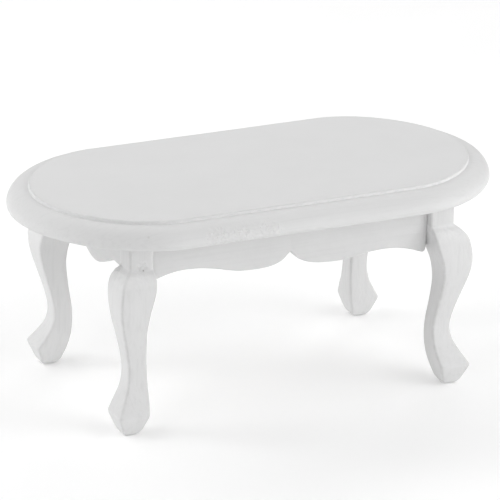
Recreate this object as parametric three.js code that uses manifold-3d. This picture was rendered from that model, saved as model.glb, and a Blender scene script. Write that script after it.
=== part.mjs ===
// Miniature oval dining table in painted wood, at the 1:12 scale of dolls house furniture.
// Millimetres, +Z up. X runs along the length and the front faces -Y.
// The origin is on the floor, under the middle of the top.

import * as THREE from "three";
import { mergeVertices } from "three/addons/utils/BufferGeometryUtils.js";
import Module from "manifold-3d";

const wasm = await Module();
wasm.setup();

// Overall size
const TABLE_LENGTH = 147;
const TABLE_WIDTH = 78;
const TABLE_HEIGHT = 63.5;

// Top: one board with straight sides and rounded ends
const TOP_THICKNESS = 7;
const STRAIGHT_HALF = 37;
const END_EXPONENT = 1.88;
const END_STEPS = 26;
const RIM_RISE = 1.3;
const UNDERCUT = 1.5;
const MOULDING_WIDTH = 6.3;
const FIELD_RISE = 1;

// Legs: sawn from square stock, with a square post above the knee
const POST_SIZE = 7.4;
const POST_X = 47.6;
const POST_Y = 26.1;
const LEDGE_HEIGHT = 48.4;

// Rails, set back behind the faces of the posts
const RAIL_THICKNESS = 3.6;
const RAIL_SETBACK = 2.4;
const SCALLOP_TILT = 3.8;

// Dowels and the holes that they are glued into
const DOWEL_RADIUS = 0.8;
const GLUE_GAP = 0.2;
const DOWEL_SIDES = 16;
const RAIL_DOWEL_LENGTH = 6;
const LONG_DOWEL_HEIGHT = 47;
const END_DOWEL_HEIGHT = 50.6;
const TOP_DOWEL_LENGTH = 7;

// Corner blocks behind the posts
const BLOCK_HEIGHT = 6;
const BLOCK_LEG = 10.4;
const BLOCK_NOSE = 3.2;

const UNDERSIDE = TABLE_HEIGHT - TOP_THICKNESS;
const HALF_POST = POST_SIZE / 2;
const RAIL_MIDDLE = HALF_POST - RAIL_SETBACK - RAIL_THICKNESS / 2;
const LONG_RAIL_HALF = POST_X - HALF_POST;
const END_RAIL_HALF = POST_Y - HALF_POST;
const QUARTER_TURN = Math.PI / 2;
const CURVE_STEPS = 3;

// ---------- materials ----------

function paint() {
  return new THREE.MeshStandardMaterial({ color: 0xf1f1ef, roughness: 0.45, metalness: 0 });
}

function bareWood() {
  return new THREE.MeshStandardMaterial({ color: 0xd2b183, roughness: 0.8, metalness: 0 });
}

// ---------- joining and cutting ----------

function toSolid(geometry) {
  const bare = geometry.clone();
  bare.deleteAttribute("normal");
  bare.deleteAttribute("uv");
  const merged = mergeVertices(bare, 1e-4);
  return new wasm.Manifold(
    new wasm.Mesh({
      numProp: 3,
      vertProperties: new Float32Array(merged.attributes.position.array),
      triVerts: new Uint32Array(merged.index.array),
    }),
  );
}

function toGeometry(solid) {
  const mesh = solid.getMesh();
  const geometry = new THREE.BufferGeometry();
  geometry.setAttribute("position", new THREE.BufferAttribute(new Float32Array(mesh.vertProperties), 3));
  geometry.setIndex(new THREE.BufferAttribute(new Uint32Array(mesh.triVerts), 1));
  geometry.computeVertexNormals();
  return geometry;
}

// ---------- shared shapes ----------

// A box given by its lowest and highest corners.
function boxBetween(low, high) {
  const box = new THREE.BoxGeometry(high[0] - low[0], high[1] - low[1], high[2] - low[2]);
  return box.translate((low[0] + high[0]) / 2, (low[1] + high[1]) / 2, (low[2] + high[2]) / 2);
}

// A round rod that lies along "x", "y" or "z", with its middle at the origin.
function rod(radius, length, direction) {
  const cylinder = new THREE.CylinderGeometry(radius, radius, length, DOWEL_SIDES);
  if (direction === "x") cylinder.rotateZ(QUARTER_TURN);
  if (direction === "z") cylinder.rotateX(QUARTER_TURN);
  return cylinder;
}

// The hole for a dowel: wider by the glue gap, and a little longer.
function dowelHole(length, direction) {
  return rod(DOWEL_RADIUS + GLUE_GAP, length + 2 * GLUE_GAP, direction);
}

// A shape drawn in x and height, extruded through y with its middle at y = 0.
function uprightExtrusion(shape, thickness) {
  const geometry = new THREE.ExtrudeGeometry(shape, {
    depth: thickness,
    bevelEnabled: false,
    curveSegments: CURVE_STEPS,
  });
  return geometry.translate(0, 0, -thickness / 2).rotateX(QUARTER_TURN);
}

// ---------- top ----------

// The table's outline, drawn in by an even margin.
function topOutline(margin) {
  const reach = TABLE_LENGTH / 2 - STRAIGHT_HALF - margin;
  const half = TABLE_WIDTH / 2 - margin;
  const power = 2 / END_EXPONENT;
  const points = [];
  for (const side of [1, -1]) {
    for (let step = 0; step <= END_STEPS; step += 1) {
      const angle = (step / END_STEPS - 0.5) * Math.PI;
      const along = Math.abs(Math.cos(angle)) ** power;
      const across = Math.sign(Math.sin(angle)) * Math.abs(Math.sin(angle)) ** power;
      points.push(new THREE.Vector2(side * (STRAIGHT_HALF + reach * along), side * half * across));
    }
  }
  return new THREE.Shape(points);
}

// A board whose edge is a quarter round above or below its widest line at z = 0.
function quarterRoundBoard(width, height, steps, keepAbove) {
  const board = new THREE.ExtrudeGeometry(topOutline(0), {
    depth: 2,
    bevelThickness: height - 1,
    bevelSize: width,
    bevelOffset: -width,
    bevelSegments: steps,
  }).translate(0, 0, -1);
  const reach = TABLE_LENGTH;
  const kept = keepAbove
    ? boxBetween([-reach, -reach, 0], [reach, reach, reach])
    : boxBetween([-reach, -reach, -reach], [reach, reach, 0]);
  return toSolid(board).intersect(toSolid(kept));
}

function tableTop() {
  const mouldingHeight = TOP_THICKNESS - RIM_RISE - FIELD_RISE;
  const upper = quarterRoundBoard(MOULDING_WIDTH, mouldingHeight, 9, true);
  const lower = quarterRoundBoard(UNDERCUT, RIM_RISE, 3, false);
  const field = new THREE.ExtrudeGeometry(topOutline(MOULDING_WIDTH), {
    depth: FIELD_RISE + 1,
    bevelEnabled: false,
  }).translate(0, 0, mouldingHeight - 1);
  let solid = upper.add(lower).add(toSolid(field));
  for (const x of [-POST_X, POST_X]) {
    for (const y of [-POST_Y, POST_Y]) {
      const hole = dowelHole(TOP_DOWEL_LENGTH, "z").translate(x, y, -RIM_RISE);
      solid = solid.subtract(toSolid(hole));
    }
  }
  const mesh = new THREE.Mesh(toGeometry(solid), paint());
  mesh.name = "table_top";
  mesh.position.z = UNDERSIDE + RIM_RISE;
  return mesh;
}

// ---------- legs ----------

// One face of the leg seen square on: across the leg, outwards from the post's middle, and up.
function legProfile() {
  const shape = new THREE.Shape();
  shape.moveTo(HALF_POST, UNDERSIDE);
  shape.lineTo(-HALF_POST, UNDERSIDE);
  shape.lineTo(-HALF_POST, LEDGE_HEIGHT);
  const inside = [[-3.6, 46.2], [-3.2, 43.2], [-2.2, 40], [-1.3, 36.5], [-0.9, 31.5], [-1.4, 25], [-2.1, 19],
    [-2.3, 14.5], [-2, 10], [-1.2, 6], [0.1, 1.9]];
  shape.splineThru(inside.map(([across, up]) => new THREE.Vector2(across, up)));
  shape.quadraticCurveTo(1.1, 0, 2.2, 0);
  shape.lineTo(4.6, 0);
  shape.quadraticCurveTo(5.7, 0, 6.5, 1.8);
  shape.lineTo(8, 5.5);
  shape.quadraticCurveTo(8.3, 6.3, 7.8, 7);
  const outside = [[5.9, 10.1], [4.2, 13.6], [3.6, 17.8], [4.4, 22.8], [6, 28.8], [7.4, 34], [8, 38.4],
    [7.7, 42.6], [6.8, 45.8], [5.1, 47.8]];
  shape.splineThru(outside.map(([across, up]) => new THREE.Vector2(across, up)));
  shape.lineTo(HALF_POST, LEDGE_HEIGHT);
  return shape;
}

// A leg at the (+X, +Y) corner, with its dowel holes facing -X and -Y at the given heights.
function legGeometry(holeHeightX, holeHeightY) {
  const sawnOneWay = uprightExtrusion(legProfile(), 4 * POST_SIZE);
  const sawnOtherWay = sawnOneWay.clone().rotateZ(QUARTER_TURN);
  const holes = [
    dowelHole(RAIL_DOWEL_LENGTH, "x").translate(-HALF_POST, RAIL_MIDDLE, holeHeightX),
    dowelHole(RAIL_DOWEL_LENGTH, "y").translate(RAIL_MIDDLE, -HALF_POST, holeHeightY),
    dowelHole(TOP_DOWEL_LENGTH, "z").translate(0, 0, UNDERSIDE),
  ];
  let solid = toSolid(sawnOneWay).intersect(toSolid(sawnOtherWay));
  for (const hole of holes) {
    solid = solid.subtract(toSolid(hole));
  }
  return toGeometry(solid);
}

// The corners in order round the table, each a quarter turn on from the last.
const CORNERS = [
  { name: "back_right", x: POST_X, y: POST_Y },
  { name: "back_left", x: -POST_X, y: POST_Y },
  { name: "front_left", x: -POST_X, y: -POST_Y },
  { name: "front_right", x: POST_X, y: -POST_Y },
];

function leg(corner, turns) {
  const onLongRail = turns % 2 === 0;
  const geometry = onLongRail
    ? legGeometry(LONG_DOWEL_HEIGHT, END_DOWEL_HEIGHT)
    : legGeometry(END_DOWEL_HEIGHT, LONG_DOWEL_HEIGHT);
  const mesh = new THREE.Mesh(geometry, paint());
  mesh.name = `leg_${corner.name}`;
  mesh.position.set(corner.x, corner.y, 0);
  mesh.rotation.z = turns * QUARTER_TURN;
  return mesh;
}

// ---------- rails ----------

// Half of a long rail's lower edge, from the middle cusp outwards: distance along, height.
const LONG_EDGE = [[1, 45.9], [2.6, 44.4], [5.7, 43.1], [10, 42.5], [15.5, 42.5], [19.5, 43.1], [24, 44],
  [29.4, 44.6], [34, 44.5], [38, 43.8], [41.4, 42.7]];
const LONG_CUSP = 47;
const LONG_END = 42;

// The long rail hangs lower towards one end by the tilt that it was sawn with.
function longEdgePoint(along, height) {
  return new THREE.Vector2(along, height - (SCALLOP_TILT * along) / (2 * LONG_RAIL_HALF));
}

function longRailShape() {
  const right = LONG_EDGE.map(([along, height]) => longEdgePoint(along, height));
  const left = LONG_EDGE.map(([along, height]) => longEdgePoint(-along, height)).reverse();
  const shape = new THREE.Shape();
  shape.moveTo(-LONG_RAIL_HALF, UNDERSIDE);
  shape.lineTo(-LONG_RAIL_HALF, LONG_END + 2.6);
  const leftEnd = longEdgePoint(-LONG_RAIL_HALF, LONG_END - 0.4);
  shape.quadraticCurveTo(leftEnd.x, leftEnd.y, left[0].x, left[0].y);
  shape.splineThru([...left.slice(1), longEdgePoint(0, LONG_CUSP)]);
  shape.splineThru(right);
  const rightEnd = longEdgePoint(LONG_RAIL_HALF, LONG_END - 0.4);
  shape.quadraticCurveTo(rightEnd.x, rightEnd.y, LONG_RAIL_HALF, LONG_END + 0.4);
  shape.lineTo(LONG_RAIL_HALF, UNDERSIDE);
  return shape;
}

// Half of an end rail's lower edge, from the bottom of its single lobe outwards.
const END_LOBE = [[2.5, 42.1], [5.2, 43], [8, 44.4], [10, 45.5], [11.6, 46.3]];
const END_LOBE_BOTTOM = 41.8;
const END_SHOULDER = 45.9;

function endRailShape() {
  const out = END_LOBE.map(([along, height]) => new THREE.Vector2(along, height));
  const back = END_LOBE.map(([along, height]) => new THREE.Vector2(-along, height)).reverse();
  const shape = new THREE.Shape();
  shape.moveTo(-END_RAIL_HALF, UNDERSIDE);
  shape.lineTo(-END_RAIL_HALF, END_SHOULDER);
  shape.quadraticCurveTo(-END_RAIL_HALF + 5, END_SHOULDER, back[0].x, back[0].y);
  shape.splineThru([...back.slice(1), new THREE.Vector2(0, END_LOBE_BOTTOM), ...out]);
  shape.quadraticCurveTo(END_RAIL_HALF - 5, END_SHOULDER, END_RAIL_HALF, END_SHOULDER);
  shape.lineTo(END_RAIL_HALF, UNDERSIDE);
  return shape;
}

// A rail centred on x = 0, with a dowel hole in each end.
function railGeometry(shape, half, holeHeight) {
  let solid = toSolid(uprightExtrusion(shape, RAIL_THICKNESS));
  for (const end of [-half, half]) {
    const hole = dowelHole(RAIL_DOWEL_LENGTH, "x").translate(end, 0, holeHeight);
    solid = solid.subtract(toSolid(hole));
  }
  return toGeometry(solid);
}

function rails() {
  const across = POST_Y + RAIL_MIDDLE;
  const along = POST_X + RAIL_MIDDLE;
  const places = [
    { name: "rail_front", isLong: true, x: 0, y: -across, turns: 0 },
    { name: "rail_back", isLong: true, x: 0, y: across, turns: 2 },
    { name: "rail_left", isLong: false, x: -along, y: 0, turns: 3 },
    { name: "rail_right", isLong: false, x: along, y: 0, turns: 1 },
  ];
  return places.map((place) => {
    const geometry = place.isLong
      ? railGeometry(longRailShape(), LONG_RAIL_HALF, LONG_DOWEL_HEIGHT)
      : railGeometry(endRailShape(), END_RAIL_HALF, END_DOWEL_HEIGHT);
    const mesh = new THREE.Mesh(geometry, paint());
    mesh.name = place.name;
    mesh.position.set(place.x, place.y, 0);
    mesh.rotation.z = place.turns * QUARTER_TURN;
    return mesh;
  });
}

// ---------- dowels ----------

function dowel(name, length, direction, x, y, z) {
  const mesh = new THREE.Mesh(rod(DOWEL_RADIUS, length, direction), bareWood());
  mesh.name = name;
  mesh.position.set(x, y, z);
  return mesh;
}

// Three dowels at each corner: one from each rail into the post, and one up into the top.
function cornerDowels(corner) {
  const sideX = Math.sign(corner.x);
  const sideY = Math.sign(corner.y);
  const longX = corner.x - sideX * HALF_POST;
  const longY = corner.y + sideY * RAIL_MIDDLE;
  const endX = corner.x + sideX * RAIL_MIDDLE;
  const endY = corner.y - sideY * HALF_POST;
  return [
    dowel(`dowel_long_rail_${corner.name}`, RAIL_DOWEL_LENGTH, "x", longX, longY, LONG_DOWEL_HEIGHT),
    dowel(`dowel_end_rail_${corner.name}`, RAIL_DOWEL_LENGTH, "y", endX, endY, END_DOWEL_HEIGHT),
    dowel(`dowel_top_${corner.name}`, TOP_DOWEL_LENGTH, "z", corner.x, corner.y, UNDERSIDE),
  ];
}

// ---------- corner blocks ----------

// A triangular glue block in the corner between two rails, with its nose cut off to clear the post.
function cornerBlock(corner) {
  const insideRail = HALF_POST - RAIL_SETBACK - RAIL_THICKNESS;
  const wallX = corner.x + Math.sign(corner.x) * insideRail;
  const wallY = corner.y + Math.sign(corner.y) * insideRail;
  const reachX = -Math.sign(corner.x);
  const reachY = -Math.sign(corner.y);
  const shape = new THREE.Shape([
    new THREE.Vector2(reachX * BLOCK_NOSE, 0),
    new THREE.Vector2(reachX * BLOCK_LEG, 0),
    new THREE.Vector2(0, reachY * BLOCK_LEG),
    new THREE.Vector2(0, reachY * BLOCK_NOSE),
  ]);
  const geometry = new THREE.ExtrudeGeometry(shape, { depth: BLOCK_HEIGHT, bevelEnabled: false });
  const mesh = new THREE.Mesh(geometry, bareWood());
  mesh.name = `corner_block_${corner.name}`;
  mesh.position.set(wallX, wallY, UNDERSIDE - BLOCK_HEIGHT);
  return mesh;
}

// ---------- assembly ----------

const table = new THREE.Group();
table.add(tableTop());
table.add(...rails());
CORNERS.forEach((corner, turns) => {
  table.add(leg(corner, turns));
  table.add(...cornerDowels(corner));
  table.add(cornerBlock(corner));
});

export default table;
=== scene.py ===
"""A miniature oval dining table in satin white paint, on a pale studio floor.

Lengths of the table are millimetres until a mesh is made; MM turns them into Blender's metres.
The floor, the lights and the camera are in metres and degrees.
"""

import math

import bmesh
import bpy
import numpy as np
from mathutils import Matrix, Vector


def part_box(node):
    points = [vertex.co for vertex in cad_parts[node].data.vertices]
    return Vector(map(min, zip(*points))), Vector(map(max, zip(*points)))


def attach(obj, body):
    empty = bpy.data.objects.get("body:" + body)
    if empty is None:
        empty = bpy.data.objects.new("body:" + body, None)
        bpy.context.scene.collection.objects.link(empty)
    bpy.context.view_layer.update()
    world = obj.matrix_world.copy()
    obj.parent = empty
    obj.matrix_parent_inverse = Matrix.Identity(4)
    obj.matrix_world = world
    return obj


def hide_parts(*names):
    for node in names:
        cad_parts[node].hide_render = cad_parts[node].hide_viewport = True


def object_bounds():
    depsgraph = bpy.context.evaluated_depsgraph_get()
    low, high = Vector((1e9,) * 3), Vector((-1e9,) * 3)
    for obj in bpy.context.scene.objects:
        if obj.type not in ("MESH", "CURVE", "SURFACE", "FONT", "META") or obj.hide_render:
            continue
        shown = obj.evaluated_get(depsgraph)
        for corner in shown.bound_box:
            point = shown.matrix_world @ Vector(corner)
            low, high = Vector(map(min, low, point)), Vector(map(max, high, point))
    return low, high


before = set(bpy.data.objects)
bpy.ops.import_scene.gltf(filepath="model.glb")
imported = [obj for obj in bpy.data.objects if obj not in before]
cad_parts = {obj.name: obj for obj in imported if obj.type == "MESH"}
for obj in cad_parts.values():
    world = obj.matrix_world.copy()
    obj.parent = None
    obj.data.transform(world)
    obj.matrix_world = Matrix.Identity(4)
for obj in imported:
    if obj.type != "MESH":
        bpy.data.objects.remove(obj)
CAD_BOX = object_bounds()

MM = 0.001
SCENE = bpy.context.scene
X, Y, Z = 0, 1, 2
QUARTER_TURN = math.pi / 2
CORNERS = ["back_right", "back_left", "front_left", "front_right"]
SPLINE_STEPS = 6


# ---------- the top ----------

# The rim's outline and the sizes of its edge are the same as the frame's.
STRAIGHT_HALF = 37
END_EXPONENT = 1.88
RIM_RISE = 1.3
UNDERCUT = 1.5
MOULDING_WIDTH = 6.3
FIELD_RISE = 1.0
# The step up to the field: the hollow at its foot, the rounding of its edge, and how much it wavers
STEP_COVE = 0.18
STEP_EDGE = 0.5
STEP_WAVE = 0.07
# Waves round the step: how many, phase and size
STEP_WAVES = [(7, 0.4, 0.35), (13, 2.1, 0.3), (29, 1.3, 0.2), (53, 0.2, 0.15), (97, 4.0, 0.12)]
# Insets of the flat rings under the rim, and of those on the field from the step inwards
UNDERSIDE_INSETS = (16, UNDERCUT + 1.2)
FIELD_INSETS = (1, 9)
# How many pieces each curve is cut into
END_STEPS = 72
SIDE_STEPS = 16
RIM_STEPS = 6
MOULDING_STEPS = 16
COVE_STEPS = 4
STEP_EDGE_STEPS = 5
# Painted highlight on the step, stronger towards the right where the step faces the light: positions along
# the table, and how strong at each
STEP_PAINTED_HIGHLIGHT = ((-70, -50, -10, 50), (0.35, 0.4, 0.55, 0.8))
# How many pieces of the step's rounded edge the painted highlight reaches up
STEP_HIGHLIGHT_REACH = 3
# How worn each part of the edge is, from 0 to 1
RIM_WEAR = 0.25
MOULDING_WEAR = 0.1
STEP_SIDE_WEAR = 0.2
# How strongly the wood under the paint shows, from 0 to 1, and how much less at the top of the moulding
FIELD_ROUGHNESS = 0.09
STEP_ROUGHNESS = 0.8
MOULDING_SMOOTHING = 0.5
UNDERSIDE_ROUGHNESS = 0.6
LEG_ROUGHNESS = 1.0
RAIL_ROUGHNESS = 0.7


# ---------- the legs ----------

POST_SIZE = 7.4
LEDGE_HEIGHT = 48.4
# The fillet from the ledge up to the post: its height, and how far out its bend point stands
LEDGE_FILLET = 0.6
LEDGE_BEND = 0.1
# Rounding of a leg's edges, and the most it may be as a share of half the leg's width
LEG_EDGE = 0.75
LARGEST_ROUNDING = 0.8
# Across the leg from the post's middle, and up: the same sawn outline as the frame's legs.
LEG_INSIDE = [
    (0.1, 1.9), (-1.2, 6), (-2, 10), (-2.3, 14.5), (-2.1, 19), (-1.4, 25), (-0.9, 31.5),
    (-1.3, 36.5), (-2.2, 40), (-3.2, 43.2), (-3.6, 46.2), (-POST_SIZE / 2, LEDGE_HEIGHT),
]
LEG_OUTSIDE = [
    (7.8, 7), (5.9, 10.1), (4.2, 13.6), (3.6, 17.8), (4.4, 22.8), (6, 28.8), (7.4, 34),
    (8, 38.4), (7.7, 42.6), (6.8, 45.8), (5.1, 47.8),
]
# The foot: the flat pad's inner and outer end, and the points that shape the heel and toe
PAD = (2.2, 4.6)
HEEL_BEND = (1.1, 0)
TOE_BEND = (5.7, 0)
TOE_UNDER = (6.5, 1.8)
TOE_FRONT = (8, 5.5)
TOE_TIP = (8.3, 6.3)
FOOT_STEPS = 8
TIP_STEPS = 6
LEDGE_STEPS = 10
# Heights of the leg's rings: the first even one, the spacing, and the least gap between two
FIRST_LEVEL = 0.5
LEVEL_SPACING = 0.8
LEAST_LEVEL_GAP = 0.04
# A ring: steps each way round a corner, points along a side, and wear where a corner starts and ends
CORNER_STEPS = 3
SIDE_POINTS = 3
CORNER_START_WEAR = 0.3
# Painted light on the ledge, lifting the shade under the top's overhang: heights, and how strong at each
LEDGE_PAINTED_LIGHT = ((44.4, 47.2, 48.6, 49.2), (0, 0.5, 0.5, 0))
# The four upright edges, from the outer one: how worn each is, and how strong a painted highlight the post's
# get, whose second and fourth edges stand beside the rails
EDGE_WEAR = (1.0, 1.0, 0.4, 0.4)
POST_EDGE_HIGHLIGHT = (0, 0.6, 0, 0.6)
# Height above which the post's edges get their painted highlight
POST_HIGHLIGHT_START = LEDGE_HEIGHT - 1


# ---------- the rails ----------

# Half of a long rail's lower edge, from the middle cusp outwards, as in the frame
LONG_EDGE = [
    (1, 45.9), (2.6, 44.4), (5.7, 43.1), (10, 42.5), (15.5, 42.5), (19.5, 43.1), (24, 44),
    (29.4, 44.6), (34, 44.5), (38, 43.8), (41.4, 42.7),
]
LONG_CUSP = 47
LONG_END = 42
LONG_LEFT_RISE = 2.6
LONG_RIGHT_RISE = 0.4
LONG_END_DIP = 0.4
SCALLOP_TILT = 3.8
# Half of an end rail's lower edge, from the bottom of its lobe outwards
END_LOBE = [(2.5, 42.1), (5.2, 43), (8, 44.4), (10, 45.5), (11.6, 46.3)]
END_LOBE_BOTTOM = 41.8
END_SHOULDER = 45.9
END_SHOULDER_REACH = 5
LONG_BEND_STEPS = 10
END_BEND_STEPS = 8
# Rounding of the long edges: radius, start angle in degrees, and steps.
# In order: lower front, lower back, upper back and upper front
RAIL_EDGES = [(0.45, 180, 6), (0.3, 270, 4), (0.15, 0, 2), (0.15, 90, 2)]
ARC_END_WEAR = 0.2
# How far a rail's face curves back at its ends, and over what length: front top, front bottom, back
RAIL_END_TOP = (0.4, 1.5)
RAIL_END_BOTTOM = (1.3, 3.4)
RAIL_BACK_END = (0.3, 0.4)
RAIL_END_POWER = 3
# Sections close together round each end, and the least gap between two
RAIL_END_SECTIONS = 10
RAIL_END_CROWDING = 1.5
LEAST_SECTION_GAP = 0.03
# Painted light at the joint, lifting the shade the leg casts on the rail's end: distances from the rail's
# end, and how strong at each
JOINT_PAINTED_LIGHT = ((0, 1.2), (1, 0))
# How far a rail reaches on at each end, so that paint fills the gap to the post
JOINT_FILL = 0.19


# ---------- the glue blocks ----------

# The flat cut off the inner corner, the easing of the edges, where the easing's middle lies as a share of it,
# and pieces along each side
BLOCK_NOSE = 3.2
BLOCK_EASE = 0.25
BLOCK_ROUNDING = 0.3
BLOCK_STEPS = 4


# ---------- paint and wood ----------

# The numbers of the Mix node's colour sockets
MIX_COLOUR_INPUTS = (6, 7)
MIX_COLOUR_OUTPUT = 2
PAINT_COLOUR = (0.73, 0.73, 0.73, 1)
# A whiter paint colour, laid on as painted highlight and painted light where places need more light
PAINTED_HIGHLIGHT_COLOUR = (0.90, 0.90, 0.90, 1)
PRIMER = (0.58, 0.58, 0.57, 1)
DIRT = (0.30, 0.29, 0.27, 1)
PAINT_ROUGHNESS = (0.56, 0.66)
PAINT_IOR = 1.46
PAINT_SPECULAR = 0.35
WORN_EXTRA_ROUGHNESS = 0.15
# How much of the paint's colour is left in clouds and in streaks along the grain
CLOUD_SHADE = 0.975
STREAK_SHADE = 0.945
# How much each of these shows, from 0 to 1
CLOUD_STRENGTH = 0.6
PRIMER_STRENGTH = 0.3
DUST_STRENGTH = 0.25
# How strong the painted light is on a rough patch, and how far painted light varies from place to place
ROUGH_PATCH_PAINTED_LIGHT = 0.45
PATCHY_PAINTED_LIGHT = (0.45, 1.0)
# Specks of dust: how many per millimetre, and a speck's inner and outer radius as a share of their spacing
DUST_SCALE = 0.085
DUST_RADIUS = (0.012, 0.02)
# Depths of relief in millimetres
PORE_DEPTH = 0.07
SWELL_DEPTH = 0.16
PEEL_DEPTH = 0.02
CRUST_DEPTH = 0.24
PIT_DEPTH = 0.08
WOOD_PORE_DEPTH = 0.08
WOOD_BUMP_STRENGTH = 0.7
# Centre, radius and strength of small dirty pits, and of patches of rough paint, which are also whitened as
# painted light (millimetres)
PITS = [
    ((-48.2, -35.4, 60.7), 0.45, 0.16),
    ((-47.2, -30.0, 48.8), 0.3, 0.8),
    ((50.1, -31.9, 9.3), 0.45, 0.16),
    ((-52.9, -24.2, 48.9), 0.4, 0.3),
]
ROUGH_PATCHES_WITH_PAINTED_LIGHT = [
    ((-52.6, -23.6, 48.6), 2.0, 1.0),
    ((-47.6, -30.0, 49.6), 2.2, 0.8),
    ((-28, -39, 58.2), 5.0, 0.6),
    ((-20, -39, 57.8), 5.0, 0.6),
    ((-12, -39, 57.8), 5.0, 0.6),
]
# Where a spot starts and ends its fade, as shares of its radius
SPOT_FADE = (0.4, 1.2)
# Noise patterns: scale across and along the grain (per millimetre), detail, roughness, distortion
PATCHY_NOISE = (0.5, 0.5, 3, 0.7, 0)
SHEEN_NOISE = (0.12, 0.12, 3, 0.5, 0)
PORE_NOISE = (2.0, 0.09, 4, 0.65, 0.2)
SWELL_NOISE = (0.32, 0.15, 3, 0.6, 0)
PEEL_NOISE = (1.4, 1.4, 2, 0.5, 0)
GRIT_NOISE = (1.1, 1.1, 3, 0.6, 0)
CLOUD_NOISE = (0.045, 0.045, 4, 0.6, 0)
STREAK_NOISE = (1.1, 0.035, 5, 0.6, 0.3)
RING_NOISE = (0.5, 0.02, 5, 0.6, 0.6)
WOOD_PORE_NOISE = (3.5, 0.12, 4, 0.7, 0)
FLOOR_NOISE = (0.02, 0.02, 2, 0.5, 0)
# The values of a noise between which its effect grows from nothing to full
THIN_RANGE = (0.34, 0.64)
# How patchy the painted light is
PAINTED_LIGHT_RANGE = (0.35, 0.6)
SHEEN_RANGE = (0.3, 0.7)
GRIT_RANGE = (0.4, 0.65)
CLOUD_RANGE = (0.35, 0.7)
STREAK_RANGE = (0.45, 0.75)
RING_RANGE = (0.35, 0.65)
WOOD_PORE_RANGE = (0.56, 0.72)
WOOD_SHEEN_RANGE = (0.3, 0.7)
FLOOR_RANGE = (0.3, 0.7)
WOOD_DARK = (0.62, 0.45, 0.27, 1)
WOOD_LIGHT = (0.74, 0.59, 0.40, 1)
WOOD_PORE = (0.36, 0.24, 0.13, 1)
WOOD_PORE_STRENGTH = 0.55
WOOD_ROUGHNESS = (0.68, 0.85)


# ---------- the studio ----------

FLOOR_HALF = 6.0
FLOOR_COLOURS = ((0.93, 0.93, 0.93, 1), (0.95, 0.95, 0.95, 1))
FLOOR_ROUGHNESS = 0.9
FLOOR_SPECULAR = 0.1
FLOOR_GLOW = 0.13
WORLD_LIGHT = 0.12
WHITE = (1, 1, 1, 1)
LIGHT_TARGET = (0, 0, 0.04)
LIGHT_DISTANCE = 0.7
# Name, azimuth, elevation, size and power (W)
SOFTBOXES = [
    ("left_low", -115, 6, 0.2, 0.8),
    ("right_low", 50, 6, 0.2, 0.77),
    ("front", -25, 20, 0.4, 0.28),
    ("front_right", 20, 20, 0.4, 0.87),
    ("back_left", -160, 38, 0.4, 0.96),
    ("left", -115, 38, 0.4, 1.3),
    ("front_left", -70, 38, 0.4, 0.85),
    ("right", 50, 38, 0.4, 1.15),
    ("far_right", 90, 38, 0.4, 0.77),
    ("back_right", 150, 38, 0.4, 1.0),
    ("overhead", 0, 70, 0.4, 0.3),
]
CAMERA_AZIMUTH = -25.75
CAMERA_ELEVATION = 20.4
CAMERA_ROLL = 1.15
CAMERA_DISTANCE = 1.3506
# The camera aims at the table's middle moved by this, and then by this to the right in the picture
AIM_SHIFT = (-0.0009, 0.0001, 0.0063)
AIM_RIGHT = 0.0011
SENSOR_WIDTH_MM = 36
LENS_MM = 334.7


# ---------- curves and outlines ----------


def box_mm(node):
    """Lowest and highest corner of a frame node, in millimetres."""
    low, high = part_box(node)
    return np.array(low) / MM, np.array(high) / MM


def outer_corner(low, high):
    """Which way X and Y lead outwards at a box, and its outermost X and Y."""
    signs = [1 if high[axis] > 0 else -1 for axis in (X, Y)]
    outermost = [high[axis] if signs[axis] > 0 else low[axis] for axis in (X, Y)]
    return signs, outermost


def spline(points):
    """A smooth curve through the points, the last one included."""
    points = np.array(points, float)
    padded = np.vstack([points[:1], points, points[-1:]])
    curve = []
    for i in range(len(points) - 1):
        p0, p1, p2, p3 = padded[i : i + 4]
        tangent_in = (p2 - p0) / 2
        tangent_out = (p3 - p1) / 2
        for step in range(SPLINE_STEPS):
            t = step / SPLINE_STEPS
            curve.append(
                (2 * p1 - 2 * p2 + tangent_in + tangent_out) * t**3
                + (-3 * p1 + 3 * p2 - 2 * tangent_in - tangent_out) * t**2
                + tangent_in * t
                + p1
            )
    return curve + [points[-1]]


def bend(start, control, end, steps):
    """A quadratic curve from start to end, the end left out."""
    start, control, end = (np.array(p, float) for p in (start, control, end))
    ts = np.arange(steps) / steps
    return [(1 - t) ** 2 * start + 2 * t * (1 - t) * control + t**2 * end for t in ts]


def straight(start, end, steps):
    """Points along a line, the end left out."""
    start, end = np.array(start, float), np.array(end, float)
    return [start + (end - start) * step / steps for step in range(steps)]


def arc(centre, radius, start_degrees, steps):
    """Points round a quarter of a circle, with 1 for wear on all but the first and last."""
    points = []
    for step in range(steps + 1):
        angle = math.radians(start_degrees + 90 * step / steps)
        worn = 1.0 if 0 < step < steps else ARC_END_WEAR
        points.append((centre[0] + radius * math.cos(angle), centre[1] + radius * math.sin(angle), worn))
    return points


def quarter_turn(steps, first=0):
    """The angles of a quarter turn, from the first step to the last."""
    return [step / steps * QUARTER_TURN for step in range(first, steps + 1)]


def outward_normals(loop):
    """The outward direction at each point of a closed anticlockwise loop."""
    ahead = np.roll(loop, -1, axis=0) - np.roll(loop, 1, axis=0)
    normal = np.stack([ahead[:, 1], -ahead[:, 0]], axis=1)
    return normal / np.linalg.norm(normal, axis=1)[:, None]


def spaced(positions, start, end, least_gap):
    """Positions from start to end in order, leaving out those too close to the one before."""
    kept = [start]
    for position in sorted(positions):
        if position - kept[-1] > least_gap:
            kept.append(float(position))
    kept[-1] = end
    return kept


# ---------- meshes ----------


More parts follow.
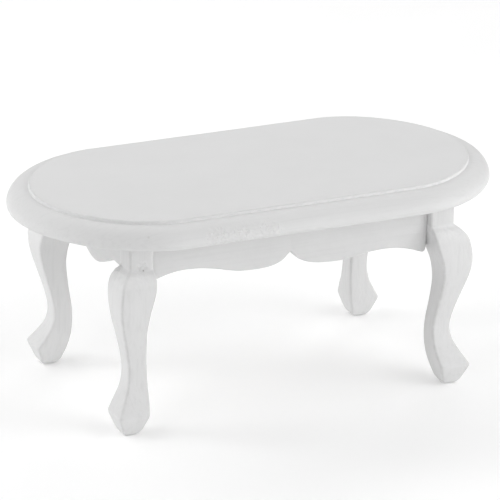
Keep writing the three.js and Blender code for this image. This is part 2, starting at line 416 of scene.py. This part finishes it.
def make_piece(name, vertices, faces, marks, nodes, material):
    """A smooth mesh that replaces frame nodes and rides on the body.

    marks holds named numbers from 0 to 1, one for the whole piece or one for each vertex.
    """
    mesh = bpy.data.meshes.new(name)
    mesh.from_pydata([tuple(np.array(v) * MM) for v in vertices], [], faces)
    mesh.validate()
    for mark, amounts in marks.items():
        attribute = mesh.attributes.new(mark, "FLOAT", "POINT")
        attribute.data.foreach_set("value", np.broadcast_to(np.array(amounts, np.float32), len(vertices)))
    piece = bpy.data.objects.new(name, mesh)
    SCENE.collection.objects.link(piece)
    face_outwards(mesh)
    mesh.shade_smooth()
    mesh.materials.append(material)
    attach(piece, "root")
    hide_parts(*nodes)


def face_outwards(mesh):
    """Turns every face of a closed mesh outwards."""
    work = bmesh.new()
    work.from_mesh(mesh)
    bmesh.ops.recalc_face_normals(work, faces=work.faces)
    work.to_mesh(mesh)
    work.free()


def loft(rings):
    """Vertices and faces of closed rings joined one to the next, with a flat cap at each end."""
    count = len(rings[0])
    vertices = [point for ring in rings for point in ring]
    faces = []
    for level in range(len(rings) - 1):
        base = level * count
        for i in range(count):
            j = (i + 1) % count
            faces.append((base + i, base + j, base + count + j, base + count + i))
    faces.append(tuple(reversed(range(count))))
    faces.append(tuple(range(len(vertices) - count, len(vertices))))
    return vertices, faces


# ---------- materials ----------


class Nodes:
    """Short calls for building a material's node tree."""

    def __init__(self, name):
        self.material = bpy.data.materials.new(name)
        self.material.use_nodes = True
        self.tree = self.material.node_tree
        self.shader = self.tree.nodes["Principled BSDF"]

    def add(self, kind, **settings):
        node = self.tree.nodes.new(kind)
        for key, value in settings.items():
            setattr(node, key, value)
        return node

    def join(self, source, target):
        self.tree.links.new(source, target)

    def shade(self, **sources):
        """Feeds the shader's sockets, whose names are written with _ for each space."""
        for name, source in sources.items():
            self.value(source, self.shader.inputs[name.replace("_", " ")])

    def value(self, source, socket):
        """Feeds a socket from another socket, or sets it to a plain value."""
        if isinstance(source, bpy.types.NodeSocket):
            self.join(source, socket)
        else:
            socket.default_value = source

    def place(self, scale=(1, 1, 1)):
        """Position on the object in millimetres, multiplied by scale along each axis."""
        coordinates = self.add("ShaderNodeTexCoord")
        mapping = self.add("ShaderNodeMapping")
        self.join(coordinates.outputs["Object"], mapping.inputs["Vector"])
        mapping.inputs["Scale"].default_value = [s / MM for s in scale]
        return mapping.outputs["Vector"]

    def noise(self, pattern, grain=X):
        """A noise pattern, stretched along the grain axis."""
        across, along, detail, roughness, distortion = pattern
        scale = [across, across, across]
        scale[grain] = along
        node = self.add("ShaderNodeTexNoise")
        self.join(self.place(scale), node.inputs["Vector"])
        node.inputs["Scale"].default_value = 1.0
        node.inputs["Detail"].default_value = detail
        node.inputs["Roughness"].default_value = roughness
        node.inputs["Distortion"].default_value = distortion
        return node.outputs["Fac"]

    def ramp(self, source, low, high, to_low=0.0, to_high=1.0):
        """Maps low..high to to_low..to_high, smoothly, and holds outside it."""
        node = self.add("ShaderNodeMapRange", interpolation_type="SMOOTHSTEP")
        self.join(source, node.inputs["Value"])
        node.inputs["From Min"].default_value = low
        node.inputs["From Max"].default_value = high
        node.inputs["To Min"].default_value = to_low
        node.inputs["To Max"].default_value = to_high
        return node.outputs["Result"]

    def calculate(self, operation, first, second):
        node = self.add("ShaderNodeMath", operation=operation)
        self.value(first, node.inputs[0])
        self.value(second, node.inputs[1])
        return node.outputs["Value"]

    def times(self, first, second):
        return self.calculate("MULTIPLY", first, second)

    def mix(self, factor, first, second):
        """A colour between the first and the second, by a factor from 0 to 1."""
        node = self.add("ShaderNodeMix", data_type="RGBA")
        self.value(factor, node.inputs["Factor"])
        for colour, number in zip((first, second), MIX_COLOUR_INPUTS):
            self.value(colour, node.inputs[number])
        return node.outputs[MIX_COLOUR_OUTPUT]

    def bump(self, height, depth_mm, strength=1.0, below=None):
        """Relief of a depth in millimetres, on top of the relief below it."""
        node = self.add("ShaderNodeBump")
        node.inputs["Strength"].default_value = strength
        node.inputs["Distance"].default_value = depth_mm * MM
        self.join(height, node.inputs["Height"])
        if below is not None:
            self.join(below, node.inputs["Normal"])
        return node.outputs["Normal"]

    def spot(self, centre, radius, strength):
        """A mask of some strength round a point in millimetres, fading to 0 beyond its radius."""
        distance = self.add("ShaderNodeVectorMath", operation="DISTANCE")
        self.join(self.place(), distance.inputs[0])
        distance.inputs[1].default_value = centre
        start, end = (share * radius for share in SPOT_FADE)
        return self.ramp(distance.outputs["Value"], start, end, strength, 0)

    def any_of(self, masks):
        """The strongest of several masks at each point."""
        strongest = masks[0]
        for mask in masks[1:]:
            strongest = self.calculate("MAXIMUM", strongest, mask)
        return strongest

    def attribute(self, name):
        return self.add("ShaderNodeAttribute", attribute_name=name).outputs["Fac"]


def shaded(colour, share):
    """A colour with only a share of its brightness."""
    return tuple(channel * share for channel in colour[:3]) + (1,)


def painted_wood(name, grain):
    """Satin white paint over sanded wood: grain, orange peel, specks, thin edges and rough patches, with
    painted highlights and painted light whitening some places.
    """
    n = Nodes(name)
    masks = {
        "patchy": n.noise(PATCHY_NOISE),
        "pits": n.any_of([n.spot(*pit) for pit in PITS]),
        # Patches of rough paint, which also get painted light
        "rough_patch_and_light": n.any_of([n.spot(*patch) for patch in ROUGH_PATCHES_WITH_PAINTED_LIGHT]),
    }
    masks["thin"] = n.times(n.attribute("wear"), n.ramp(masks["patchy"], *THIN_RANGE))
    sheen = n.ramp(n.noise(SHEEN_NOISE), *SHEEN_RANGE, *PAINT_ROUGHNESS)
    n.shade(
        Base_Color=paint_colour(n, grain, masks),
        Roughness=n.calculate("ADD", sheen, n.times(masks["thin"], WORN_EXTRA_ROUGHNESS)),
        IOR=PAINT_IOR,
        Specular_IOR_Level=PAINT_SPECULAR,
        Normal=paint_relief(n, grain, masks),
    )
    return n.material


def paint_relief(n, grain, masks):
    """Pores and swelling along the grain, orange peel, grit on the rough patches, and pits."""
    rough = n.attribute("rough")
    normal = n.bump(n.times(n.noise(PORE_NOISE, grain), rough), PORE_DEPTH)
    normal = n.bump(n.times(n.noise(SWELL_NOISE, grain), rough), SWELL_DEPTH, below=normal)
    normal = n.bump(n.noise(PEEL_NOISE), PEEL_DEPTH, below=normal)
    grit = n.ramp(n.noise(GRIT_NOISE), *GRIT_RANGE)
    normal = n.bump(n.times(grit, masks["rough_patch_and_light"]), CRUST_DEPTH, below=normal)
    return n.bump(n.calculate("SUBTRACT", 1.0, masks["pits"]), PIT_DEPTH, below=normal)


def paint_colour(n, grain, masks):
    """White: darker in clouds and along the grain, whitened by painted highlights and painted light, with
    primer where it is thin.
    """
    clouds = n.ramp(n.noise(CLOUD_NOISE), *CLOUD_RANGE, 0, CLOUD_STRENGTH)
    colour = n.mix(clouds, PAINT_COLOUR, shaded(PAINT_COLOUR, CLOUD_SHADE))
    streaks = n.times(n.ramp(n.noise(STREAK_NOISE, grain), *STREAK_RANGE), n.attribute("rough"))
    colour = n.mix(streaks, colour, shaded(PAINT_COLOUR, STREAK_SHADE))
    # Painted light: the paint is whitened where the mesh asks for it and on the rough patches
    painted_light = n.calculate("MAXIMUM", n.attribute("painted_light"), n.times(masks["rough_patch_and_light"], ROUGH_PATCH_PAINTED_LIGHT))
    painted_light_share = n.times(painted_light, n.ramp(masks["patchy"], *PAINTED_LIGHT_RANGE, *PATCHY_PAINTED_LIGHT))
    colour = n.mix(painted_light_share, colour, PAINTED_HIGHLIGHT_COLOUR)
    colour = n.mix(n.times(masks["thin"], PRIMER_STRENGTH), colour, PRIMER)
    dust = n.add("ShaderNodeTexVoronoi", feature="F1")
    n.join(n.place((DUST_SCALE, DUST_SCALE, DUST_SCALE)), dust.inputs["Vector"])
    dust.inputs["Scale"].default_value = 1.0
    speck = n.ramp(dust.outputs["Distance"], *DUST_RADIUS, 1, 0)
    colour = n.mix(n.times(speck, DUST_STRENGTH), colour, PRIMER)
    return n.mix(masks["pits"], colour, DIRT)


def bare_wood(name, grain):
    """Unpainted light hardwood: growth rings, pores and a rough sanded surface."""
    n = Nodes(name)
    colour = n.mix(n.ramp(n.noise(RING_NOISE, grain), *RING_RANGE), WOOD_DARK, WOOD_LIGHT)
    pores = n.noise(WOOD_PORE_NOISE, grain)
    n.shade(
        Base_Color=n.mix(n.ramp(pores, *WOOD_PORE_RANGE, 0, WOOD_PORE_STRENGTH), colour, WOOD_PORE),
        Roughness=n.ramp(pores, *WOOD_SHEEN_RANGE, *WOOD_ROUGHNESS),
        Normal=n.bump(pores, WOOD_PORE_DEPTH, WOOD_BUMP_STRENGTH),
    )
    return n.material


# One of each for grain along X, Y and Z
PAINT = [painted_wood(f"white_paint_{axis}", i) for i, axis in enumerate("xyz")]
WOOD = [bare_wood(f"bare_wood_{axis}", i) for i, axis in enumerate("xyz")]


# ---------- building the top ----------


def top_outline(half_length, half_width):
    """The rim's outline, anticlockwise, and its outward normals."""
    reach = half_length - STRAIGHT_HALF
    power = 2 / END_EXPONENT
    loop = []
    for side in (1, -1):
        for step in range(END_STEPS + 1):
            angle = (step / END_STEPS - 0.5) * math.pi
            out = abs(math.cos(angle)) ** power
            across = math.copysign(abs(math.sin(angle)) ** power, math.sin(angle))
            loop.append((side * (STRAIGHT_HALF + reach * out), side * half_width * across))
        side_end = loop[-1]
        next_start = (-side_end[0], side_end[1])
        loop.extend(tuple(p) for p in straight(side_end, next_start, SIDE_STEPS)[1:])
    loop = np.array(loop)
    return loop, outward_normals(loop)


def edge_point(inset, height, worn=0, rough=1, wavy=0, painted_light=0):
    """A point of the top's edge, with how worn, rough and wavy it is there, and how much painted highlight it
    gets.
    """
    return inset, height, worn, rough, wavy, painted_light


def top_edge_profile(height, thickness):
    """The top's edge from under the table, round the rim, and up the moulding and step to the field."""
    rim = height - thickness + RIM_RISE
    shoulder = height - FIELD_RISE
    profile = [edge_point(inset, rim - RIM_RISE, rough=UNDERSIDE_ROUGHNESS) for inset in UNDERSIDE_INSETS]
    for angle in quarter_turn(RIM_STEPS):
        inset = UNDERCUT * (1 - math.sin(angle))
        profile.append(edge_point(inset, rim - RIM_RISE * math.cos(angle), worn=RIM_WEAR))
    for step, angle in enumerate(quarter_turn(MOULDING_STEPS, 1), 1):
        inset = (MOULDING_WIDTH - STEP_COVE) * (1 - math.cos(angle))
        level = rim + (shoulder - rim) * math.sin(angle)
        rough = 1 - MOULDING_SMOOTHING * step / MOULDING_STEPS
        profile.append(edge_point(inset, level, MOULDING_WEAR, rough))
    # The cove at the step's foot carries the painted highlight
    for angle in quarter_turn(COVE_STEPS, 1):
        inset = MOULDING_WIDTH - STEP_COVE * (1 - math.sin(angle))
        level = shoulder + STEP_COVE * (1 - math.cos(angle))
        profile.append(edge_point(inset, level, rough=STEP_ROUGHNESS, wavy=1, painted_light=1))
    return profile + step_edge_profile(height)


def step_edge_profile(height):
    """The rounded edge at the top of the step, worn in its middle, with a painted highlight at its foot, and
    the field inside it.
    """
    profile = []
    for step, angle in enumerate(quarter_turn(STEP_EDGE_STEPS)):
        inset = MOULDING_WIDTH + STEP_EDGE * (1 - math.cos(angle))
        level = height - STEP_EDGE * (1 - math.sin(angle))
        worn = 1 if 1 < step < STEP_EDGE_STEPS else STEP_SIDE_WEAR
        # The painted highlight fades up the rounded edge
        painted_light = max(0, 1 - step / STEP_HIGHLIGHT_REACH)
        profile.append(edge_point(inset, level, worn, STEP_ROUGHNESS, 1, painted_light))
    for inset in FIELD_INSETS:
        profile.append(edge_point(MOULDING_WIDTH + STEP_EDGE + inset, height, rough=FIELD_ROUGHNESS))
    return profile


def waviness(count):
    """A small irregular drift round a closed ring, about -1 to 1, as a hand-held router leaves."""
    turns = np.arange(count) / count * 2 * math.pi
    return sum(size * np.sin(number * turns + phase) for number, phase, size in STEP_WAVES)


def build_top():
    """The board: rings of the rim's outline, drawn in and raised along its edge profile."""
    low, high = box_mm("table_top")
    loop, normals = top_outline(high[X], high[Y])
    drift = waviness(len(loop)) * STEP_WAVE
    # Painted highlight round the step, stronger towards the right
    painted_light_share = np.interp(loop[:, X], *STEP_PAINTED_HIGHLIGHT)
    rings, marks = [], {"wear": [], "rough": [], "painted_light": []}
    for inset, height, worn, rough, wavy, painted_light in top_edge_profile(high[Z], high[Z] - low[Z]):
        ring = loop - normals * (inset + wavy * drift)[:, None]
        rings.append([(x, y, height) for x, y in ring])
        marks["wear"] += [worn] * len(ring)
        marks["rough"] += [rough] * len(ring)
        marks["painted_light"] += list(painted_light * painted_light_share)
    vertices, faces = loft(rings)
    make_piece("top_board", vertices, faces, marks, ["table_top"], PAINT[X])


# ---------- building the legs ----------


def leg_sides(top):
    """The leg's inner and outer outlines, from the foot up, as dense lists of across and up."""
    half = POST_SIZE / 2
    inner = bend((PAD[0], 0), HEEL_BEND, LEG_INSIDE[0], FOOT_STEPS) + spline(LEG_INSIDE) + [(-half, top)]
    outer = bend((PAD[1], 0), TOE_BEND, TOE_UNDER, FOOT_STEPS) + [TOE_UNDER]
    outer += bend(TOE_FRONT, TOE_TIP, LEG_OUTSIDE[0], TIP_STEPS) + spline(LEG_OUTSIDE)
    ledge_end = (half, LEDGE_HEIGHT + LEDGE_FILLET)
    outer += bend(LEG_OUTSIDE[-1], (half + LEDGE_BEND, LEDGE_HEIGHT), ledge_end, LEDGE_STEPS)[1:]
    outer += [ledge_end, (half, top)]
    return np.array(inner, float), np.array(outer, float)


def leg_levels(outer, top):
    """Heights of the leg's rings: every point of the outer outline, and an even spacing between."""
    levels = set(outer[:, 1].round(3)) | set(np.arange(FIRST_LEVEL, top, LEVEL_SPACING).round(3))
    return spaced(levels, 0.0, top, LEAST_LEVEL_GAP)


def rounded_square(low, high, radius):
    """A closed ring round a square from low to high on both axes, with rounded corners.

    Each point comes with how far it is on a corner, from 0 to 1, and that corner's number.
    """
    middle, half = (low + high) / 2, (high - low) / 2
    radius = min(radius, half * LARGEST_ROUNDING)
    centre = (half - radius) * math.sqrt(2)
    ring = []
    for quarter in range(4):
        diagonal = quarter * QUARTER_TURN + math.pi / 4
        cx, cy = middle + centre * math.cos(diagonal), middle + centre * math.sin(diagonal)
        for step in range(-CORNER_STEPS, CORNER_STEPS + 1):
            angle = diagonal + step / CORNER_STEPS * math.pi / 4
            on_edge = 1.0 if abs(step) < CORNER_STEPS else CORNER_START_WEAR
            ring.append((cx + radius * math.cos(angle), cy + radius * math.sin(angle), on_edge, quarter))
        last_x, last_y = ring[-1][:2]
        for step in range(1, SIDE_POINTS + 1):
            travel = (half - radius) * 2 * step / (SIDE_POINTS + 1)
            x, y = last_x - math.sin(angle) * travel, last_y + math.cos(angle) * travel
            ring.append((x, y, 0.0, quarter))
    return ring


def build_leg(corner):
    """A leg: rounded squares stacked from the foot up, as wide as its two outlines at each height."""
    node = f"leg_{corner}"
    low, high = box_mm(node)
    inner, outer = leg_sides(high[Z])
    knee = outer[:, 0].max()
    (sign_x, sign_y), (outer_x, outer_y) = outer_corner(low, high)
    centre_x, centre_y = outer_x - sign_x * knee, outer_y - sign_y * knee
    rings, wear, painted_light = [], [], []
    for level in leg_levels(outer, high[Z]):
        inside = np.interp(level, inner[:, 1], inner[:, 0])
        outside = np.interp(level, outer[:, 1], outer[:, 0])
        ring = rounded_square(inside, outside, LEG_EDGE)
        rings.append([(centre_x + sign_x * x, centre_y + sign_y * y, level) for x, y, _, _ in ring])
        # Painted light on the ledge, and a painted highlight on the post's edges beside the rails, which also
        # takes wear off them
        on_post = level > POST_HIGHLIGHT_START
        ledge = np.interp(level, *LEDGE_PAINTED_LIGHT)
        for _, _, on_edge, edge in ring:
            wear.append(on_edge * (EDGE_WEAR[edge] - on_post * POST_EDGE_HIGHLIGHT[edge]))
            painted_light.append(max(ledge, on_post * on_edge * POST_EDGE_HIGHLIGHT[edge]))
    vertices, faces = loft(rings)
    marks = {"wear": wear, "rough": LEG_ROUGHNESS, "painted_light": painted_light}
    make_piece(f"painted_leg_{corner}", vertices, faces, marks, [node], PAINT[Z])


# ---------- building the rails ----------


def long_rail_edge(half):
    """The long rail's lower edge from its left end to its right end."""

    def tilted(distance, height):
        return (distance, height - SCALLOP_TILT * distance / (2 * half))

    left = [tilted(-d, h) for d, h in reversed(LONG_EDGE)]
    right = [tilted(d, h) for d, h in LONG_EDGE]
    cusp = tilted(0, LONG_CUSP)
    right_end = (half, LONG_END + LONG_RIGHT_RISE)
    left_bend, right_bend = (tilted(end, LONG_END - LONG_END_DIP) for end in (-half, half))
    edge = bend((-half, LONG_END + LONG_LEFT_RISE), left_bend, left[0], LONG_BEND_STEPS)
    edge += spline(left + [cusp])[:-1] + spline([cusp] + right)[:-1]
    edge += bend(right[-1], right_bend, right_end, LONG_BEND_STEPS)
    return np.array(edge + [right_end])


def end_rail_edge(half):
    """The end rail's lower edge from its left end to its right end."""
    inner = half - END_SHOULDER_REACH
    left = [(-d, h) for d, h in reversed(END_LOBE)]
    edge = bend((-half, END_SHOULDER), (-inner, END_SHOULDER), left[0], END_BEND_STEPS)
    edge += spline(left + [(0, END_LOBE_BOTTOM)] + END_LOBE)[:-1]
    edge += bend(END_LOBE[-1], (inner, END_SHOULDER), (half, END_SHOULDER), END_BEND_STEPS)
    return np.array(edge + [(half, END_SHOULDER)])


def curved_back(distance, end):
    """How far a face has curved back at a distance from the end, given the depth and length of the curve."""
    depth, length = end
    return depth * max(0.0, 1 - distance / length) ** RAIL_END_POWER


def rail_section(half, distance, low, top):
    """A section through a rail of that half thickness, a distance from its end: depth, height and wear."""
    bottom_front = curved_back(distance, RAIL_END_BOTTOM) - half
    top_front = curved_back(distance, RAIL_END_TOP) - half
    back = half - curved_back(distance, RAIL_BACK_END)
    corners = [(bottom_front, low, 1, 1), (back, low, -1, 1), (back, top, -1, -1), (top_front, top, 1, -1)]
    ring = []
    for (depth, height, inward, upward), (radius, start, steps) in zip(corners, RAIL_EDGES):
        ring += arc((depth + inward * radius, height + upward * radius), radius, start, steps)
    return ring


def rail_stations(edge, half):
    """Distances along a rail for its sections, closer together round its ends."""
    stations = set(edge[:, 0].round(3))
    for step in range(RAIL_END_SECTIONS + 1):
        distance = RAIL_END_BOTTOM[1] * (step / RAIL_END_SECTIONS) ** RAIL_END_CROWDING
        stations |= {round(distance - half, 3), round(half - distance, 3)}
    return spaced(stations, -half, half, LEAST_SECTION_GAP)


def build_rail(name, edge_of, turns):
    """A rail with its face outwards: turns is how many quarter turns it stands round from the front."""
    low, high = box_mm(name)
    size = high - low
    middle = (low + high) / 2
    lies_along = X if turns % 2 == 0 else Y
    thickness = size[1 - lies_along]
    half = size[lies_along] / 2
    edge = edge_of(half)
    stretch = (half + JOINT_FILL) / half
    turn = Matrix.Rotation(turns * QUARTER_TURN, 3, "Z")
    shift = Vector((middle[X], middle[Y], 0))
    rings, wear, painted_light = [], [], []
    for station in rail_stations(edge, half):
        height = np.interp(station, edge[:, 0], edge[:, 1])
        section = rail_section(thickness / 2, half - abs(station), height, high[Z])
        rings.append([turn @ Vector((station * stretch, d, h)) + shift for d, h, _ in section])
        wear += [worn for _, _, worn in section]
        # Painted light at the rail's ends, where the leg shades them
        painted_light += [np.interp(half - abs(station), *JOINT_PAINTED_LIGHT)] * len(section)
    vertices, faces = loft(rings)
    marks = {"wear": wear, "rough": RAIL_ROUGHNESS, "painted_light": painted_light}
    make_piece(f"painted_{name}", vertices, faces, marks, [name], PAINT[lies_along])


# ---------- building the glue blocks and dowels ----------


def inset_polygon(corners, inset, steps):
    """A convex polygon drawn in by a distance, with its sides divided into steps."""
    corners = [Vector(corner) for corner in corners]
    moved = []
    for i, corner in enumerate(corners):
        ahead = (corners[(i + 1) % len(corners)] - corner).normalized()
        behind = (corners[i - 1] - corner).normalized()
        half_angle = ahead.angle(behind) / 2
        moved.append(corner + (ahead + behind).normalized() * inset / math.sin(half_angle))
    loop = []
    for i, corner in enumerate(moved):
        loop += straight(corner, moved[(i + 1) % len(moved)], steps)
    return loop


def build_block(corner):
    """A triangular glue block with eased edges."""
    node = f"corner_block_{corner}"
    low, high = box_mm(node)
    (sign_x, sign_y), (wall_x, wall_y) = outer_corner(low, high)
    reach = high[X] - low[X]
    corners = [(BLOCK_NOSE, 0), (reach, 0), (0, reach), (0, BLOCK_NOSE)]
    ease, rounding = BLOCK_EASE, BLOCK_EASE * BLOCK_ROUNDING
    profile = [(ease * 2, low[Z]), (ease, low[Z]), (rounding, low[Z] + rounding), (0, low[Z] + ease)]
    profile += [(inset, low[Z] + high[Z] - height) for inset, height in reversed(profile)]
    rings = []
    for inset, height in profile:
        loop = inset_polygon(corners, inset, BLOCK_STEPS)
        rings.append([(wall_x - sign_x * x, wall_y - sign_y * y, height) for x, y in loop])
    vertices, faces = loft(rings)
    make_piece(f"glue_block_{corner}", vertices, faces, {}, [node], WOOD[Z])


def finish_dowels():
    """The dowels keep their frame shape and get a wood grain along their length."""
    for name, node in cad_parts.items():
        if not name.startswith("dowel_"):
            continue
        low, high = box_mm(name)
        node.data.materials.clear()
        node.data.materials.append(WOOD[int(np.argmax(high - low))])


# ---------- building the studio ----------


def direction(azimuth, elevation):
    """A unit vector from the table. Azimuth 0 is in front of it, 90 to its right."""
    a, e = math.radians(azimuth), math.radians(elevation)
    return Vector((math.sin(a) * math.cos(e), -math.cos(a) * math.cos(e), math.sin(e)))


def build_floor():
    n = Nodes("studio_floor")
    n.shade(
        Base_Color=n.mix(n.ramp(n.noise(FLOOR_NOISE), *FLOOR_RANGE), *FLOOR_COLOURS),
        Roughness=FLOOR_ROUGHNESS,
        Specular_IOR_Level=FLOOR_SPECULAR,
        Emission_Color=WHITE,
        Emission_Strength=FLOOR_GLOW,
    )
    mesh = bpy.data.meshes.new("floor")
    corners = [(x * FLOOR_HALF, y * FLOOR_HALF, 0) for x, y in ((-1, -1), (1, -1), (1, 1), (-1, 1))]
    mesh.from_pydata(corners, [], [(0, 1, 2, 3)])
    mesh.materials.append(n.material)
    floor = bpy.data.objects.new("floor", mesh)
    SCENE.collection.objects.link(floor)


def softbox(name, azimuth, elevation, size, power):
    """A square area light aimed at the table."""
    away = direction(azimuth, elevation)
    lamp = bpy.data.lights.new(name, "AREA")
    lamp.shape = "SQUARE"
    lamp.size = size
    lamp.energy = power
    holder = bpy.data.objects.new(name, lamp)
    holder.location = Vector(LIGHT_TARGET) + away * LIGHT_DISTANCE
    holder.rotation_euler = away.to_track_quat("Z", "Y").to_euler()
    SCENE.collection.objects.link(holder)


def build_lights():
    """A pale world and a ring of softboxes."""
    world = bpy.data.worlds.new("studio")
    world.use_nodes = True
    background = world.node_tree.nodes["Background"]
    background.inputs["Color"].default_value = WHITE
    background.inputs["Strength"].default_value = WORLD_LIGHT
    SCENE.world = world
    for light in SOFTBOXES:
        softbox(*light)


def build_camera():
    """A long lens from the front left, a little above the table."""
    azimuth, roll = math.radians(CAMERA_AZIMUTH), math.radians(CAMERA_ROLL)
    back = direction(CAMERA_AZIMUTH, CAMERA_ELEVATION)
    level = Vector((math.cos(azimuth), math.sin(azimuth), 0))
    upright = back.cross(level)
    right = level * math.cos(roll) + upright * math.sin(roll)
    up = upright * math.cos(roll) - level * math.sin(roll)
    low, high = CAD_BOX
    target = (low + high) / 2 + Vector(AIM_SHIFT) + level * AIM_RIGHT
    data = bpy.data.cameras.new("camera")
    data.sensor_width = SENSOR_WIDTH_MM
    data.lens = LENS_MM
    camera = bpy.data.objects.new("camera", data)
    turn = Matrix((right, up, back)).transposed().to_4x4()
    camera.matrix_world = Matrix.Translation(target + back * CAMERA_DISTANCE) @ turn
    SCENE.collection.objects.link(camera)
    SCENE.camera = camera


# ---------- the whole scene ----------

SCENE.view_settings.view_transform = "Standard"
build_camera()
build_top()
for corner in CORNERS:
    build_leg(corner)
    build_block(corner)
build_rail("rail_front", long_rail_edge, 0)
build_rail("rail_right", end_rail_edge, 1)
build_rail("rail_back", long_rail_edge, 2)
build_rail("rail_left", end_rail_edge, 3)
finish_dowels()
build_floor()
build_lights()
